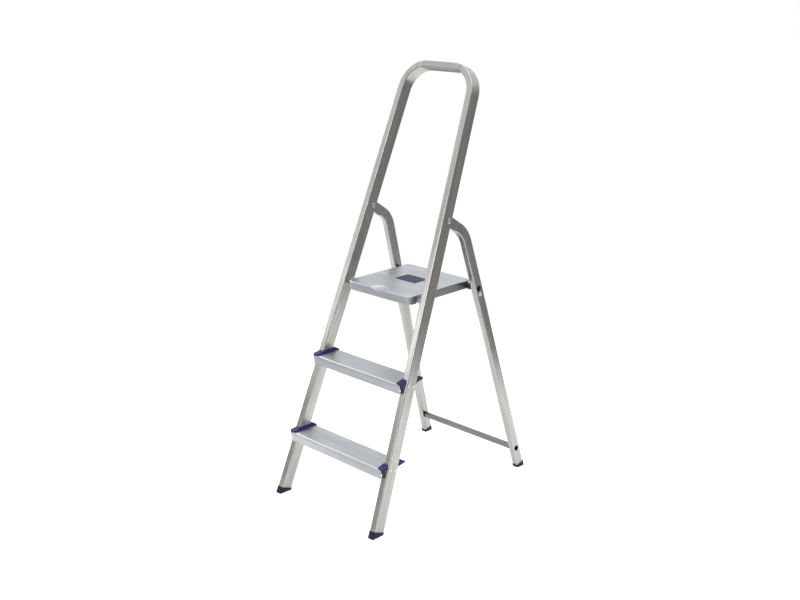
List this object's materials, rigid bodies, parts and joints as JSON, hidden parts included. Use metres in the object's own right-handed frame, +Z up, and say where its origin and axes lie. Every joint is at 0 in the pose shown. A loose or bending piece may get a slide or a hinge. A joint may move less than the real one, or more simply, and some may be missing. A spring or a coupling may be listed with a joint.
{
  "type": "folding step stool",
  "caption": "Folding aluminium step stool with two treads, a square platform, a tall handrail hoop and two bent rear legs joined by a brace.",
  "frame": {"origin": "middle of the footprint on the floor, halfway between the outer edges of the four feet", "axes": "+Z up; the climbing side faces -Y and the rear legs stand toward +Y; +X is to the right seen from the climbing side"},
  "size_m": [0.4164, 0.672, 1.249],
  "materials": {
    "tube_aluminium": "mill finish, extruded",
    "deck_aluminium": "mill finish, lightly brushed",
    "inner_aluminium": "mill finish",
    "rivet_aluminium": "satin",
    "bright_steel": "zinc plated",
    "brace_steel": "dull zinc plated",
    "cap_plastic": "fine moulded grain",
    "foot_plastic": "fine moulded grain",
    "black_plastic": "moulded",
    "bearing_plastic": "smooth nylon",
    "label": "satin film, blank"
  },
  "bodies": {
    "front_frame": {"stile_left": "tube_aluminium", "stile_right": "tube_aluminium", "handrail": "tube_aluminium", "tread_lower": "deck_aluminium", "tread_upper": "deck_aluminium", "tread_cap_lower_left": "cap_plastic", "tread_cap_lower_right": "cap_plastic", "tread_cap_upper_left": "cap_plastic", "tread_cap_upper_right": "cap_plastic", "tread_rivets_lower": "rivet_aluminium", "tread_rivets_upper": "rivet_aluminium", "front_foot_left": "foot_plastic", "front_foot_right": "foot_plastic", "hinge_pin_left": "bright_steel", "hinge_pin_right": "bright_steel", "platform_peg_left": "bright_steel", "platform_peg_right": "bright_steel"},
    "rear_frame": {"rear_leg_left": "tube_aluminium", "rear_leg_right": "tube_aluminium", "leg_tip_left": "tube_aluminium", "leg_tip_right": "tube_aluminium", "hinge_bush_left": "bearing_plastic", "hinge_bush_right": "bearing_plastic", "leg_insert_left": "inner_aluminium", "leg_insert_right": "inner_aluminium", "leg_insert_rivets": "rivet_aluminium", "rear_brace": "brace_steel", "brace_plug_left": "black_plastic", "brace_plug_right": "black_plastic", "brace_screws": "bright_steel", "rear_foot_left": "foot_plastic", "rear_foot_right": "foot_plastic", "pivot_bolt_left": "bright_steel", "pivot_bolt_right": "bright_steel", "pivot_spacer_left": "black_plastic", "pivot_spacer_right": "black_plastic", "pivot_nuts": "bright_steel"},
    "platform": {"platform_tray": "deck_aluminium", "platform_ribs": "inner_aluminium", "platform_rib_rivets": "rivet_aluminium", "platform_label": "label", "flange_bush_left": "bearing_plastic", "flange_bush_right": "bearing_plastic"}
  },
  "joints": [
    {"name": "rear_leg_fold", "type": "hinge", "parent": "front_frame", "child": "rear_frame", "pos_m": [0, 0.01526, 0.8318], "axis": [-1, 0, 0], "range_deg": [0, 37.6]},
    {"name": "platform_fold", "type": "hinge", "parent": "rear_frame", "child": "platform", "pos_m": [0, 0.13504, 0.614], "axis": [-1, 0, 0], "range_deg": [0, 73.6]}
  ],
  "couplings": [
    {"joint": "platform_fold", "follows": "rear_leg_fold", "ratio": 1.9548}
  ]
}
